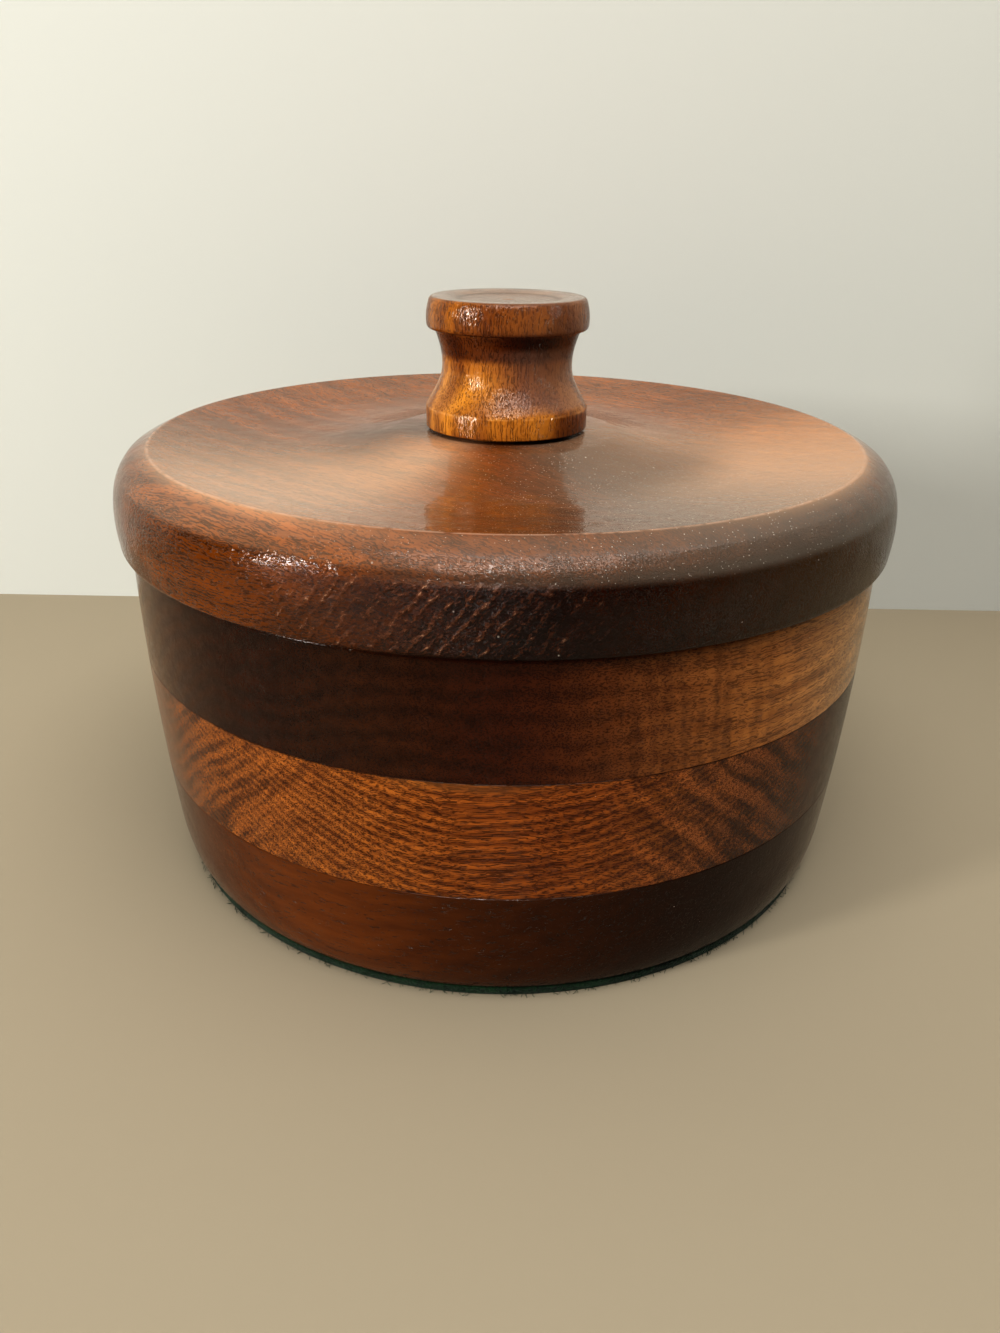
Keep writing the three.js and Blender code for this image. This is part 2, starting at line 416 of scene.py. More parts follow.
def slotted_screw():
    """The turned screw with the driver's slot cut across its head."""
    screw = turn("lid_knob_screw", screw_outline(), SCREW_STEPS)
    start_afresh()
    bpy.ops.mesh.primitive_cube_add(size=1, location=(0, 0, SCREW_HEAD * MM))
    cutter = bpy.context.object
    past_the_head = 3 * SCREW_RADIUS
    cutter.scale = (past_the_head * MM, SLOT_WIDTH * MM, 2 * SLOT_DEPTH * MM)
    bpy.ops.object.transform_apply(location=True, rotation=True, scale=True)
    start_afresh()
    bpy.context.view_layer.objects.active = screw
    screw.select_set(True)
    cut = screw.modifiers.new("slot", "BOOLEAN")
    cut.operation = "DIFFERENCE"
    cut.object = cutter
    bpy.ops.object.modifier_apply(modifier=cut.name)
    bpy.data.objects.remove(cutter)
    return screw


def felt_fuzz():
    """Loose fibres round the cut edge of the felt: thin curves that droop to the floor."""
    chance = random.Random(7)
    curve = bpy.data.curves.new("felt_fuzz", "CURVE")
    curve.dimensions = "3D"
    curve.bevel_depth = FIBRE_RADIUS * MM
    curve.bevel_resolution = 0
    curve.use_fill_caps = True
    for _ in range(FIBRES):
        spline = curve.splines.new("POLY")
        spline.points.add(FIBRE_STEPS)
        bearing = chance.uniform(0, FULL_TURN)
        slant = chance.uniform(-FIBRE_SLANT, FIBRE_SLANT)
        length = chance.uniform(FIBRE_SHORTEST, FIBRE_LONGEST)
        start = chance.uniform(FIBRE_LOWEST, FIBRE_HIGHEST)
        for i, point in enumerate(spline.points):
            t = i / FIBRE_STEPS
            out = FELT_RADIUS - FIBRE_ROOT + length * t
            angle = bearing + slant * length * t * t / FELT_RADIUS
            height = max(2 * FIBRE_RADIUS, start + (FIBRE_LIFT - FIBRE_DROOP * t) * t * length)
            point.co = (out * math.sin(angle) * MM, -out * math.cos(angle) * MM, height * MM, 1)
    fuzz = bpy.data.objects.new("felt_fuzz", curve)
    bpy.context.scene.collection.objects.link(fuzz)
    start_afresh()
    bpy.context.view_layer.objects.active = fuzz
    fuzz.select_set(True)
    bpy.ops.object.convert(target="MESH")
    return bpy.context.object


# Shader helpers

class Bench:
    """Adds nodes to one shader tree and joins them up."""

    def __init__(self, tree):
        self.tree = tree

    def feed(self, socket, value):
        if isinstance(value, bpy.types.NodeSocket):
            self.tree.links.new(value, socket)
        else:
            socket.default_value = value

    def add(self, kind, inputs=None, **settings):
        node = self.tree.nodes.new("ShaderNode" + kind)
        for name, value in settings.items():
            setattr(node, name, value)
        for name, value in (inputs or {}).items():
            self.feed(node.inputs[name], value)
        return node

    def math(self, operation, *values, clamp=False):
        node = self.add("Math", operation=operation, use_clamp=clamp)
        for socket, value in zip(node.inputs, values):
            self.feed(socket, value)
        return node.outputs[0]

    def vector(self, operation, *values):
        node = self.add("VectorMath", operation=operation)
        for socket, value in zip(node.inputs, values):
            self.feed(socket, value)
        return node.outputs["Value" if operation in ("LENGTH", "DOT_PRODUCT") else "Vector"]

    def scale(self, vector, factor):
        node = self.add("VectorMath", {0: vector, "Scale": factor}, operation="SCALE")
        return node.outputs["Vector"]

    def ease(self, value, low, high, to_low=0.0, to_high=1.0):
        """A smooth step from to_low to to_high as value goes from low to high."""
        node = self.add("MapRange", {0: value, 1: low, 2: high, 3: to_low, 4: to_high})
        node.interpolation_type = "SMOOTHSTEP"
        return node.outputs[0]

    def mix(self, factor, first, second, blend="MIX"):
        node = self.add("Mix", {0: factor, 6: first, 7: second}, data_type="RGBA", blend_type=blend)
        return node.outputs[2]

    def noise(self, vector, scale, detail=2.0, roughness=0.5, colour=False):
        inputs = {"Vector": vector, "Scale": scale, "Detail": detail, "Roughness": roughness}
        node = self.add("TexNoise", inputs)
        return node.outputs["Color" if colour else "Fac"]

    def swirl(self, vector, scale, detail=2.0):
        """Noise that pushes in all three directions, about zero."""
        return self.vector("SUBTRACT", self.noise(vector, scale, detail, colour=True), (0.5, 0.5, 0.5))

    def parts(self, vector):
        return self.add("SeparateXYZ", {0: vector}).outputs[:]

    def join(self, x, y, z):
        return self.add("CombineXYZ", {0: x, 1: y, 2: z}).outputs[0]

    def group(self, tree, **inputs):
        node = self.tree.nodes.new("ShaderNodeGroup")
        node.node_tree = tree
        for name, value in inputs.items():
            self.feed(node.inputs[name.replace("_", " ").capitalize()], value)
        return node.outputs


SOCKET_KINDS = {"v": "NodeSocketVector", "f": "NodeSocketFloat"}

# Noise lies mostly between these two values
NOISE_LOW = 0.3
NOISE_HIGH = 0.7


def effect(name, inputs, outputs, build):
    """A shader node group. inputs and outputs map a socket's name to v for a vector or f for a number."""
    tree = bpy.data.node_groups.new(name, "ShaderNodeTree")
    for label, kind in inputs.items():
        tree.interface.new_socket(label, in_out="INPUT", socket_type=SOCKET_KINDS[kind])
    for label, kind in outputs.items():
        tree.interface.new_socket(label, in_out="OUTPUT", socket_type=SOCKET_KINDS[kind])
    given = tree.nodes.new("NodeGroupInput").outputs
    wanted = tree.nodes.new("NodeGroupOutput").inputs
    bench = Bench(tree)
    for label, socket in build(bench, given).items():
        tree.links.new(socket, wanted[label])
    return tree


# Effects that several materials share

def build_grain(b, given):
    """Solid wood with its grain along one direction: rings round a pith, fibres, long pores, end grain."""
    end_falloff = 1.6
    drift_scale = 0.018
    wobble_scale = (0.006, 0.05, 0.05)
    wobble_in_rings = 2.5
    fibre_stretch = 45.0
    fibre_scale = 0.4
    jitter_scale = 0.5
    pore_level = 0.68
    pore_drop = 0.16
    ring_drop = 0.03
    pore_softness = 0.09

    turn_back = {"Axis": (0, 0, 1), "Angle": b.math("MULTIPLY", given["Turn"], -1.0)}
    place_mm = b.scale(b.add("VectorRotate", {"Vector": given["Vector"], **turn_back}).outputs[0], 1 / MM)
    facing = b.add("VectorRotate", {"Vector": given["Normal"], **turn_back}).outputs[0]
    end = b.math("POWER", b.math("ABSOLUTE", b.parts(facing)[0]), end_falloff)

    from_pith = b.vector("SUBTRACT", place_mm, given["Pith"])
    drift = b.scale(b.swirl(from_pith, drift_scale), given["Drift"])
    x, y, z = b.parts(b.vector("ADD", from_pith, drift))
    radius = b.math("SQRT", b.math("ADD", b.math("MULTIPLY", y, y), b.math("MULTIPLY", z, z)))
    wobble = b.math("MULTIPLY", b.noise(b.vector("MULTIPLY", from_pith, wobble_scale), 1.0), wobble_in_rings)
    phase = b.math("ADD", b.math("DIVIDE", radius, given["Ring width"]), wobble)
    ring = b.ease(b.math("PINGPONG", phase, 0.5), 0.0, 0.5)
    fibre = b.noise(b.join(b.math("DIVIDE", x, fibre_stretch), y, z), fibre_scale, detail=4.0, roughness=0.66)
    shade = b.math("ADD", b.math("MULTIPLY", ring, given["Rings"]),
                   b.math("MULTIPLY", b.ease(fibre, NOISE_LOW, NOISE_HIGH), given["Fibres"]), clamp=True)

    jitter = b.scale(b.swirl(from_pith, jitter_scale, detail=1.0), given["Wave"])
    x, y, z = b.parts(b.vector("ADD", b.join(x, y, z), jitter))
    cell = b.join(
        b.math("DIVIDE", x, given["Pore length"]),
        b.math("DIVIDE", y, given["Pore width"]),
        b.math("DIVIDE", z, given["Pore width"]),
    )
    level = b.math("SUBTRACT", b.math("SUBTRACT", pore_level, b.math("MULTIPLY", given["Pores"], pore_drop)),
                   b.math("MULTIPLY", ring, ring_drop))
    pores = b.ease(b.math("SUBTRACT", b.noise(cell, 1.0, roughness=0.55), level), 0.0, pore_softness)
    return {"Shade": shade, "Pores": pores, "End": end, "Fibre": fibre}


def build_facing(b, given):
    """1 on one side of the axis, between two heights, out to a radius. The width is in degrees each way."""
    rim_blur = 10.0
    edge_blur = 1.0

    x, y, z = b.parts(given["Vector"])
    flat = b.join(x, y, 0.0)
    radius = b.math("DIVIDE", b.vector("LENGTH", flat), MM)
    outer = given["Outer"]
    within = b.ease(radius, b.math("ADD", outer, rim_blur), b.math("SUBTRACT", outer, rim_blur))
    azimuth = b.math("RADIANS", given["Azimuth"])
    aim = b.join(b.math("SINE", azimuth), b.math("MULTIPLY", b.math("COSINE", azimuth), -1.0), 0.0)
    angle = b.math("ARCCOSINE", b.vector("DOT_PRODUCT", b.vector("NORMALIZE", flat), aim))
    around = b.ease(angle, b.math("RADIANS", given["Width"]), 0.0)
    height = b.math("DIVIDE", z, MM)
    low, high = given["Low"], given["High"]
    above = b.ease(height, b.math("SUBTRACT", low, edge_blur), b.math("ADD", low, edge_blur))
    below = b.ease(height, b.math("ADD", high, edge_blur), b.math("SUBTRACT", high, edge_blur))
    return {"Mask": b.math("MULTIPLY", b.math("MULTIPLY", around, within), b.math("MULTIPLY", above, below))}


def build_ribbon(b, given):
    """Uneven stripes of shimmer that lean across the grain, mirrored left and right."""
    drift_scale = 0.06
    drift_reach = 5.0
    stripe_length = 22.0
    stripe_reach = 40.0
    looseness = 1.1
    evenness = 0.45
    speckle_scale = 1.5
    speckle_depth = 0.6
    dark_level = 0.75
    light_level = 1.15

    mm = b.scale(given["Vector"], 1 / MM)
    x, y, z = b.parts(b.vector("ADD", mm, b.scale(b.swirl(mm, drift_scale), drift_reach)))
    lean = b.math("RADIANS", given["Lean"])
    aside = b.math("ABSOLUTE", x)
    across = b.math("ADD", b.math("MULTIPLY", aside, b.math("COSINE", lean)),
                    b.math("MULTIPLY", z, b.math("SINE", lean)))
    length = b.math("SUBTRACT", b.math("MULTIPLY", z, b.math("COSINE", lean)),
                    b.math("MULTIPLY", aside, b.math("SINE", lean)))
    turns = b.math("DIVIDE", across, given["Period"])
    stretched = b.join(turns, b.math("DIVIDE", length, stripe_length), b.math("DIVIDE", x, stripe_reach))
    loose = b.math("MULTIPLY", b.noise(stretched, 1.0, roughness=0.55), looseness)
    even = b.math("MULTIPLY", b.math("PINGPONG", turns, 0.5), evenness)
    speckle = b.math("MULTIPLY", b.noise(mm, speckle_scale, roughness=0.6), speckle_depth)
    stripes = b.math("ADD", b.math("ADD", loose, even), speckle)
    return {"Band": b.ease(stripes, dark_level, light_level)}


def build_slashes(b, given):
    """Torn end grain: ridges that lean to one side, over fine crumbs that catch the light."""
    bend_scale = 0.16
    bend_reach = 3.0
    row_offset = 5.3
    ridge_length = 7.0
    ridge_foot = 0.3
    ridge_top = 0.02
    crumb_width = 0.55
    crumb_length = 1.5
    ridge_share = 0.15
    ridge_wrinkle = 0.5
    gap_level = 0.3
    kept_level = 0.6
    torn_level = 0.52
    glint_level = 0.72
    full_glint = 0.8

    mm = b.scale(given["Vector"], 1 / MM)
    x, y, z = b.parts(mm)
    around = b.math("MULTIPLY", b.math("ARCTAN2", x, b.math("MULTIPLY", y, -1.0)), MOUTH_RADIUS)
    lean = b.math("RADIANS", given["Lean"])
    across = b.math("SUBTRACT", b.math("MULTIPLY", around, b.math("SINE", lean)),
                    b.math("MULTIPLY", z, b.math("COSINE", lean)))
    length = b.math("ADD", b.math("MULTIPLY", around, b.math("COSINE", lean)),
                    b.math("MULTIPLY", z, b.math("SINE", lean)))
    bent = b.math("ADD", across, b.math("MULTIPLY", b.noise(mm, bend_scale, detail=1.0), bend_reach))
    turns = b.math("DIVIDE", bent, given["Spacing"])
    row = b.math("MULTIPLY", b.math("FLOOR", b.math("ADD", turns, 0.5)), row_offset)
    broken = b.noise(b.join(b.math("DIVIDE", length, ridge_length), row, 0.0), 1.0, detail=1.0)
    kept = b.ease(broken, gap_level, kept_level)
    ridge = b.math("MULTIPLY", b.ease(b.math("PINGPONG", turns, 0.5), ridge_foot, ridge_top), kept)
    grit = b.join(b.math("DIVIDE", across, crumb_width), b.math("DIVIDE", length, crumb_length), z)
    crumbs = b.noise(grit, 1.0, detail=3.0, roughness=0.7)
    torn = b.math("ADD", b.math("MULTIPLY", ridge, ridge_share), crumbs)
    return {
        "Mask": b.ease(torn, torn_level, glint_level),
        "Glints": b.ease(torn, glint_level, full_glint),
        "Wrinkles": b.math("ADD", crumbs, b.math("MULTIPLY", ridge, ridge_wrinkle)),
    }


def build_dust(b, given):
    """Scattered pale specks, from 0.4 to 1.4 times one size."""
    smallest = 0.4
    soft_from = 0.4

    mm = b.scale(given["Vector"], 1 / MM)
    density = b.math("DIVIDE", 1.0, given["Spacing"])
    cells = b.add("TexVoronoi", {"Vector": mm, "Scale": density, "Randomness": 1.0})
    apart = b.math("MULTIPLY", cells.outputs["Distance"], given["Spacing"])
    pick, chance, _ = b.parts(cells.outputs["Color"])
    size = b.math("MULTIPLY", given["Size"], b.math("ADD", smallest, pick))
    speck = b.ease(apart, size, b.math("MULTIPLY", size, soft_from))
    kept = b.math("LESS_THAN", chance, given["Amount"])
    return {"Mask": b.math("MULTIPLY", speck, kept)}


def build_ring_line(b, given):
    """A thin line round the axis at one radius and height, broken up by noise."""
    wear_scale = 0.35
    wear_softness = 0.2

    mm = b.scale(given["Vector"], 1 / MM)
    x, y, z = b.parts(mm)
    radius = b.math("SQRT", b.math("ADD", b.math("MULTIPLY", x, x), b.math("MULTIPLY", y, y)))
    off = b.join(b.math("SUBTRACT", radius, given["Radius"]), b.math("SUBTRACT", z, given["Height"]), 0.0)
    line = b.ease(b.vector("LENGTH", off), given["Reach"], 0.0)
    wear = given["Wear"]
    worn = b.noise(mm, wear_scale, detail=3.0, roughness=0.6)
    broken = b.ease(worn, wear, b.math("ADD", wear, wear_softness))
    return {"Mask": b.math("MULTIPLY", line, broken)}


def build_varnish(b, given):
    """The skin of a hand-rubbed varnish: orange peel, slow waves, and the pores that it sinks into."""
    peel_scale = 1.2
    wave_scale = 0.16

    mm = b.scale(given["Vector"], 1 / MM)
    peel = b.noise(mm, peel_scale, roughness=0.6)
    waves = b.noise(mm, wave_scale, detail=1.0)
    fine = b.math("SUBTRACT", b.math("MULTIPLY", peel, given["Peel"]),
                  b.math("MULTIPLY", given["Pores"], given["Sunk"]))
    slow = b.math("MULTIPLY", waves, given["Waves"])
    return {"Height": b.math("ADD", b.math("MULTIPLY", fine, given["Keenness"]), slow)}


grain_effect = effect(
    "Solid wood grain",
    {"Vector": "v", "Normal": "v", "Turn": "f", "Pith": "v", "Drift": "f", "Ring width": "f", "Rings": "f",
     "Fibres": "f", "Pore length": "f", "Pore width": "f", "Pores": "f", "Wave": "f"},
    {"Shade": "f", "Pores": "f", "End": "f", "Fibre": "f"},
    build_grain,
)
facing_effect = effect(
    "Facing side",
    {"Vector": "v", "Azimuth": "f", "Width": "f", "Low": "f", "High": "f", "Outer": "f"},
    {"Mask": "f"},
    build_facing,
)
ribbon_effect = effect(
    "Ribbon figure",
    {"Vector": "v", "Lean": "f", "Period": "f"},
    {"Band": "f"},
    build_ribbon,
)
slash_effect = effect(
    "Torn end grain",
    {"Vector": "v", "Lean": "f", "Spacing": "f"},
    {"Mask": "f", "Glints": "f", "Wrinkles": "f"},
    build_slashes,
)
dust_effect = effect(
    "Dust specks",
    {"Vector": "v", "Spacing": "f", "Size": "f", "Amount": "f"},
    {"Mask": "f"},
    build_dust,
)
line_effect = effect(
    "Ring line",
    {"Vector": "v", "Radius": "f", "Height": "f", "Reach": "f", "Wear": "f"},
    {"Mask": "f"},
    build_ring_line,
)
varnish_effect = effect(
    "Varnish skin",
    {"Vector": "v", "Pores": "f", "Peel": "f", "Waves": "f", "Sunk": "f", "Keenness": "f"},
    {"Height": "f"},
    build_varnish,
)


# Materials

# Where a patch goes that names no heights and no reach, in millimetres
BELOW_ALL = -10.0
ABOVE_ALL = 300.0
BEYOND_ALL = 200.0

# How far a face looks up: 1 on level wood, 0 on upright wood
STEEP = 0.6
NEARLY_LEVEL = 0.88
LEVEL = 0.95

# How much of the wood a glint or a speck of dust hides, and the varnish's skin, in millimetres
GLINT_DEPTH = 0.8
DUST_DEPTH = 0.75
DUST_ROUGHNESS = 0.9
SKIN_DEPTH = 0.2

# The numbers of a look that the grain takes as they are
GRAIN_NUMBERS = (
    "pith", "drift", "ring_width", "rings", "fibres", "pore_length", "pore_width", "pores", "wave",
)


def new_material(name):
    material = bpy.data.materials.new(name)
    material.use_nodes = True
    bench = Bench(material.node_tree)
    shader = material.node_tree.nodes["Principled BSDF"]
    return material, bench, shader


def rgb(red, green, blue):
    """A colour as seen on a screen, 0 to 255, turned into the linear value that the shader takes."""
    def linear(value):
        share = value / 255
        return share / 12.92 if share <= 0.04045 else ((share + 0.055) / 1.055) ** 2.4
    return (linear(red), linear(green), linear(blue), 1.0)


def place_mask(b, where, upward, part):
    """Where a patch, ribbon or dust lies: its side, heights and reach, and the top alone if it says so."""
    mask = b.group(
        facing_effect, vector=where, azimuth=part["azimuth"], width=part["width"],
        low=part.get("low", BELOW_ALL), high=part.get("high", ABOVE_ALL),
        outer=part.get("outer", BEYOND_ALL),
    )["Mask"]
    if part.get("on_top"):
        mask = b.math("MULTIPLY", mask, b.ease(upward, NEARLY_LEVEL, LEVEL))
    return mask


def wood_grain(b, look, where, facing):
    """The grain of a board: it runs level, or upright like the knob's."""
    if look.get("upright"):
        x, y, z = b.parts(where)
        where = b.join(z, x, y)
        x, y, z = b.parts(facing)
        facing = b.join(z, x, y)
    numbers = {name: look[name] for name in GRAIN_NUMBERS}
    return b.group(grain_effect, vector=where, normal=facing, turn=math.radians(look["turn"]), **numbers)


def wood_colour(b, look, where, grain, mask_of):
    """The board's colours: its wood, the ribbons of its figure, end grain, pores, and patches of tone,
    painted shade and painted reflection.
    """
    colour = b.mix(grain["Shade"], look["light"], look["dark"])
    for ribbon in look.get("ribbons", ()):
        band = b.group(ribbon_effect, vector=where, lean=ribbon["lean"], period=ribbon["period"])["Band"]
        tint = b.mix(band, ribbon["dark"], ribbon["light"])
        colour = b.mix(b.math("MULTIPLY", mask_of(ribbon), ribbon["depth"]), colour, tint)
    colour = b.mix(b.math("MULTIPLY", grain["End"], look["end_depth"]), colour, look["end"], "MULTIPLY")
    colour = b.mix(b.math("MULTIPLY", grain["Pores"], look["pore_depth"]), colour, look["pore"])
    for patch in look.get("patches", ()):
        share = b.math("MULTIPLY", mask_of(patch), patch["depth"])
        colour = b.mix(share, colour, patch["tint"], patch["blend"])
    return colour


def tear_grain(b, slash, where, zone, colour):
    """Torn end grain on one zone: its colour over the wood's, and the height that it adds."""
    marks = b.group(slash_effect, vector=where, lean=slash["lean"], spacing=slash["spacing"])
    torn = b.math("MULTIPLY", b.math("MULTIPLY", marks["Mask"], zone), slash["depth"])
    glints = b.math("MULTIPLY", b.math("MULTIPLY", marks["Glints"], zone), GLINT_DEPTH)
    colour = b.mix(glints, b.mix(torn, colour, slash["tint"]), slash["glint"])
    return colour, b.math("MULTIPLY", b.math("MULTIPLY", marks["Wrinkles"], zone), slash["wrinkled"])


def varnished_wood(name, look):
    """A varnished board. look holds the grain's numbers, its colours and how far each effect goes."""
    material, b, shader = new_material(name)
    coordinates = b.add("TexCoord").outputs
    where, facing = coordinates["Object"], coordinates["Normal"]
    upward = b.parts(facing)[2]

    def mask_of(part):
        return place_mask(b, where, upward, part)

    grain = wood_grain(b, look, where, facing)
    colour = wood_colour(b, look, where, grain, mask_of)
    roughness = b.ease(grain["Fibre"], NOISE_LOW, NOISE_HIGH, look["gloss"][0], look["gloss"][1])
    torn = 0.0
    if "slash" in look:
        colour, torn = tear_grain(b, look["slash"], where, mask_of(look["slash"]), colour)
    for line in look.get("lines", ()):
        mask = b.group(line_effect, vector=where, radius=line["radius"], height=line["height"],
                       reach=line["reach"], wear=line["wear"])["Mask"]
        colour = b.mix(b.math("MULTIPLY", mask, line["depth"]), colour, line["tint"])
    for dust in look.get("dust", ()):
        mask = b.group(dust_effect, vector=where, spacing=dust["spacing"], size=dust["size"],
                       amount=dust["amount"])["Mask"]
        mask = b.math("MULTIPLY", mask, mask_of(dust))
        colour = b.mix(b.math("MULTIPLY", mask, DUST_DEPTH), colour, DUST)
        roughness = b.math("MAXIMUM", roughness, b.math("MULTIPLY", mask, DUST_ROUGHNESS))
    skin = b.group(
        varnish_effect, vector=where, pores=grain["Pores"], peel=look["peel"], waves=look["waves"],
        sunk=look["sunk"], keenness=b.ease(upward, STEEP, LEVEL, 1.0, look["calm"]))["Height"]
    bump = b.add("Bump", {"Height": b.math("ADD", skin, torn), "Distance": SKIN_DEPTH * MM}).outputs[0]
    b.feed(shader.inputs["Base Color"], colour)
    b.feed(shader.inputs["Roughness"], roughness)
    b.feed(shader.inputs["Normal"], bump)
    shader.inputs["Specular IOR Level"].default_value = look["specular"]
    return material


DUST = rgb(205, 198, 186)
STRAY_DUST = {"spacing": 4.5, "size": 0.14, "amount": 0.3, "azimuth": 20, "width": 100}

# What every board has, unless its own look says otherwise; lengths in millimetres, angles in degrees
BOARD = {
    "drift": 8.0, "ring_width": 5.0, "rings": 0.45, "fibres": 0.55,
    "pore_length": 5.0, "pore_width": 0.32, "pores": 1.0, "pore_depth": 0.65, "wave": 0.8,
    "gloss": (0.06, 0.13), "peel": 0.35, "waves": 0.6, "sunk": 0.6, "calm": 0.1, "specular": 0.25,
    "end": rgb(110, 84, 72), "end_depth": 0.8,
}

# A patch this wide fades so slowly that it covers the back too
ALL_ROUND = {"azimuth": 0, "width": 720}


def seam_line(height):
    return {"radius": outside_radius(height), "height": height, "reach": 0.4, "wear": 0.2,
            "depth": 0.8, "tint": rgb(34, 16, 8)}


def darken(**patch):
    """A patch that darkens the wood round one azimuth, over so many degrees each way: painted shade in many
    places, the wood's own tone in others.
    """
    return patch | {"blend": "MULTIPLY"}


def lighten(**patch):
    """A patch that lightens the wood round one azimuth: mostly painted reflection and painted sheen,
    elsewhere a lighter tone.
    """
    return patch | {"blend": "SCREEN"}


def sheen_and_dust(**patch):
    """A patch of one colour that hides the wood under it: painted reflection and painted sheen, with dust on
    the lid's bevel and on the knob's right side.
    """
    return patch | {"blend": "MIX"}


def lid_wood():
    below_spigot = MOUTH - 9
    edge = MOUTH + LID_SIDE_HEIGHT
    crest = MOUTH + LID_CREST_HEIGHT
    return varnished_wood("lid_wood", BOARD | {
        "turn": -37, "pith": (0, 60, 40), "drift": 6.0, "ring_width": 9.0, "rings": 0.3, "fibres": 0.55,
        "light": rgb(144, 80, 30), "dark": rgb(96, 52, 22),
        "pore": rgb(56, 28, 10), "pores": 1.12, "pore_depth": 0.7,
        "end": rgb(120, 92, 80), "end_depth": 0.5,
        "peel": 0.62, "waves": 1.1, "sunk": 0.5, "specular": 0.32, "gloss": (0.05, 0.09),
        "patches": [
            # Painted shade that keeps the whole side darker than the top, along with a more golden tone.
            darken(**ALL_ROUND, low=below_spigot, high=edge, depth=0.9, tint=rgb(206, 196, 78)),
            # Painted shade on the right of the side.
            darken(azimuth=42, width=62, low=below_spigot, high=edge, depth=0.97, tint=rgb(112, 66, 28)),
            lighten(azimuth=60, width=58, low=below_spigot, high=edge, depth=0.8, tint=rgb(72, 54, 26)),
            # Painted shade on the front of the side, stopping below the edge's round, which catches the
            # light.
            darken(azimuth=2, width=36, low=below_spigot, high=edge - 2, depth=0.97, tint=rgb(104, 62, 38)),
            # Painted sheen with dust on the bevel's right.
            sheen_and_dust(azimuth=40, width=74, low=edge - 2, high=crest + 1, depth=0.85, tint=rgb(98, 88, 78)),
            # Painted shade on the far left of the bevel and top, holding back the window's light.
            darken(azimuth=-80, width=44, low=edge, depth=0.5, tint=rgb(160, 148, 138)),
            # Painted sheen on the bevel's left.
            lighten(azimuth=-36, width=50, low=edge, high=crest, depth=0.8, tint=rgb(72, 72, 64)),
            # Painted reflections of the pale wall on the top: behind, right and left.
            lighten(azimuth=180, width=110, on_top=True, depth=0.6, tint=rgb(84, 66, 50)),
            lighten(azimuth=75, width=65, on_top=True, depth=0.95, tint=rgb(152, 114, 82)),
            lighten(azimuth=-44, width=76, on_top=True, depth=0.9, tint=rgb(130, 110, 90)),
            # Painted reflection of the knob on the top in front of it.
            darken(azimuth=-4, width=30, on_top=True, depth=0.9, tint=rgb(190, 146, 96)),
            # Painted dark reflections on the top to the right and left of the knob's seat.
            darken(azimuth=62, width=62, on_top=True, outer=56, depth=0.6, tint=rgb(110, 96, 84)),
            darken(azimuth=-80, width=50, on_top=True, outer=46, depth=0.5, tint=rgb(120, 104, 92)),
        ],
        "slash": {"azimuth": -10, "width": 28, "low": MOUTH + 1, "high": edge - 2, "depth": 0.8, "lean": 52,
                  "spacing": 2.6, "wrinkled": 3.0, "tint": rgb(112, 68, 44), "glint": rgb(184, 146, 116)},
        # The crest line is partly a painted highlight on the crest's small round, partly wear.
        "lines": [{"radius": LID_RADIUS - LID_CREST_INSET, "height": crest, "reach": 0.6, "wear": 0.35,
                   "depth": 0.4, "tint": rgb(190, 154, 130)}],
        "dust": [{"spacing": 0.62, "size": 0.12, "amount": 0.5, "azimuth": 22, "width": 70, "low": edge - 2},
                 {"spacing": 4.0, "size": 0.22, "amount": 0.4, "azimuth": 30, "width": 90}],
    })


def top_ring_wood():
    return varnished_wood("top_ring_wood", BOARD | {
        "turn": 40, "pith": (0, -70, -30), "rings": 0.3, "fibres": 0.4, "wave": 0.7,
        "light": rgb(210, 146, 82), "dark": rgb(116, 66, 28),
        "pore": rgb(74, 40, 16), "pores": 1.0, "pore_length": 7.0, "pore_width": 0.26, "pore_depth": 0.65,
        "end": rgb(92, 56, 36), "end_depth": 0.6,
        "peel": 0.5, "gloss": (0.05, 0.12),
        "ribbons": [{"azimuth": 26, "width": 30, "lean": 6, "period": 3.4, "depth": 0.5,
                     "light": rgb(178, 114, 56), "dark": rgb(104, 56, 24)}],
        "patches": [
            darken(azimuth=-34, width=70, depth=0.97, tint=rgb(92, 62, 42)),
            darken(azimuth=0, width=40, depth=0.9, tint=rgb(122, 62, 38)),
            # Painted reflection of the pale wall on the right.
            lighten(azimuth=76, width=42, depth=0.95, tint=rgb(150, 132, 104)),
        ],
        "dust": [STRAY_DUST],
    })


def middle_ring_wood():
    return varnished_wood("middle_ring_wood", BOARD | {
        "turn": 0, "pith": (0, 0, -40), "ring_width": 1.6, "rings": 0.45, "wave": 0.4,
        "light": rgb(192, 120, 48), "dark": rgb(104, 54, 20),
        "pore": rgb(50, 22, 8), "pores": 1.15, "pore_length": 6.0, "pore_width": 0.22, "pore_depth": 0.75,
        "end": rgb(150, 120, 100), "end_depth": 0.5,
        "ribbons": [
            {"azimuth": -48, "width": 34, "lean": 42, "period": 3.0, "depth": 0.75,
             "light": rgb(196, 122, 54), "dark": rgb(80, 42, 18)},
            {"azimuth": 34, "width": 28, "lean": 42, "period": 4.4, "depth": 0.75,
             "light": rgb(196, 122, 66), "dark": rgb(56, 28, 14)},
        ],
        "patches": [
            lighten(azimuth=-3, width=15, low=UPPER_SEAM - 2, depth=0.8, tint=rgb(110, 78, 40)),
            darken(azimuth=70, width=52, depth=0.97, tint=rgb(100, 80, 70)),
            darken(azimuth=4, width=28, depth=0.9, tint=rgb(224, 206, 200)),
            darken(azimuth=-80, width=46, depth=0.9, tint=rgb(140, 110, 90)),
            # Painted reflection haze on the far left.
            sheen_and_dust(azimuth=-72, width=32, depth=0.9, tint=rgb(122, 84, 60)),
        ],
        "lines": [seam_line(LOWER_SEAM), seam_line(UPPER_SEAM)],
        "dust": [STRAY_DUST],
    })


